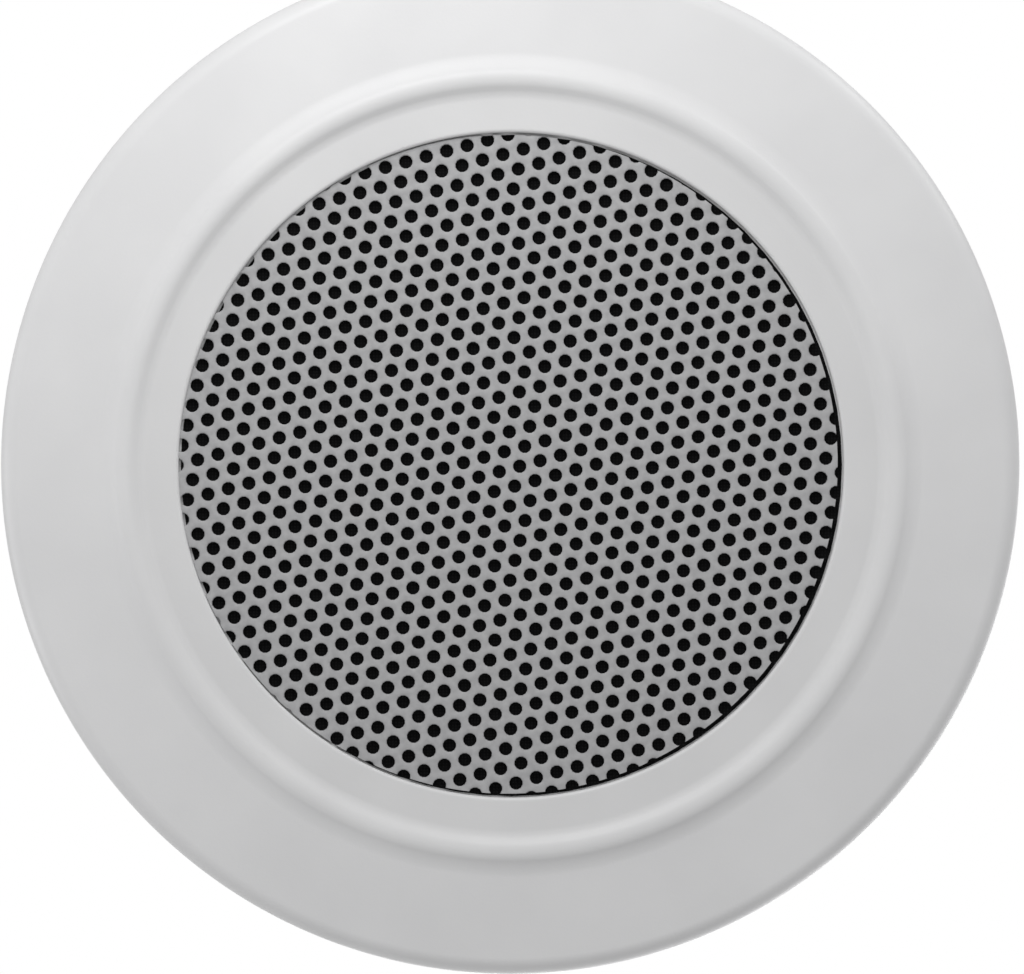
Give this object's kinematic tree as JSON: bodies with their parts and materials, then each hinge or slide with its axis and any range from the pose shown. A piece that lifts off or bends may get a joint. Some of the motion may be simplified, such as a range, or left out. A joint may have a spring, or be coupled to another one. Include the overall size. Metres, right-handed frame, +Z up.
{
  "type": "ceiling speaker",
  "caption": "Round flush-mount ceiling speaker: white beaded flange, perforated steel grille, full-range driver with open back, and sprung wire clips that grip the ceiling board.",
  "frame": {"origin": "on the speaker's axis, at the ceiling surface that the flange seats on", "axes": "+Z up along the axis, out of the back of the flange into the ceiling void; the clips swing in the XZ plane"},
  "size_m": [0.145, 0.145, 0.0498],
  "materials": {
    "white_plastic": "satin injection-moulded ABS",
    "painted_sheet": "perforated steel with a pale grey coat",
    "black_cloth": "woven acoustic cloth",
    "foam": "closed-cell foam",
    "black_steel": "pressed steel, black coat",
    "surround_rubber": "soft matt rubber",
    "cone_paper": "pressed paper pulp",
    "former_film": "brown film tube",
    "copper": "enamelled copper wire",
    "spider_cloth": "resin-dipped cotton",
    "zinc_steel": "zinc-plated steel",
    "ferrite": "sintered ferrite",
    "fibre": "laminated fibre board",
    "tab_brass": "tinned brass",
    "tinsel": "braided tinsel wire",
    "spring_steel": "bright spring wire",
    "soft_sleeve": "soft vinyl tube"
  },
  "bodies": {
    "housing": {"bezel": "white_plastic", "grille": "painted_sheet", "grille_cloth": "black_cloth", "driver_gasket": "foam", "basket": "black_steel", "surround": "surround_rubber", "spider": "spider_cloth", "top_plate": "zinc_steel", "magnet": "ferrite", "yoke": "zinc_steel", "magnet_rivets": "zinc_steel", "driver_screws": "zinc_steel", "terminal_board": "fibre", "terminal_positive": "tab_brass", "terminal_negative": "tab_brass", "terminal_rivets": "tab_brass", "tinsel_lead_positive": "tinsel", "tinsel_lead_negative": "tinsel", "clip_bracket_right": "zinc_steel", "clip_pin_right": "zinc_steel", "clip_bracket_left": "zinc_steel", "clip_pin_left": "zinc_steel"},
    "cone_unit": {"cone": "cone_paper", "dust_cap": "cone_paper", "voice_coil_former": "former_film", "voice_coil_winding": "copper"},
    "clip_right": {"clip_spring_right": "spring_steel", "clip_sleeve_right": "soft_sleeve"},
    "clip_left": {"clip_spring_left": "spring_steel", "clip_sleeve_left": "soft_sleeve"}
  },
  "joints": [
    {"name": "cone_travel", "type": "slide", "parent": "housing", "child": "cone_unit", "axis": [0, 0, -1], "range_m": [-0.0022, 0.0022], "stiffness_N_per_m": 1200, "deforming": ["surround", "spider", "tinsel_lead_positive", "tinsel_lead_negative"]},
    {"name": "clip_right", "type": "hinge", "parent": "housing", "child": "clip_right", "pos_m": [0.05185, 0, 0.0175], "axis": [0, -1, 0], "range_deg": [0, 110], "stiffness_Nm_per_rad": 0.15, "springref_deg": -28.65},
    {"name": "clip_left", "type": "hinge", "parent": "housing", "child": "clip_left", "pos_m": [-0.05185, 0, 0.0175], "axis": [0, 1, 0], "range_deg": [0, 110], "stiffness_Nm_per_rad": 0.15, "springref_deg": -28.65}
  ]
}
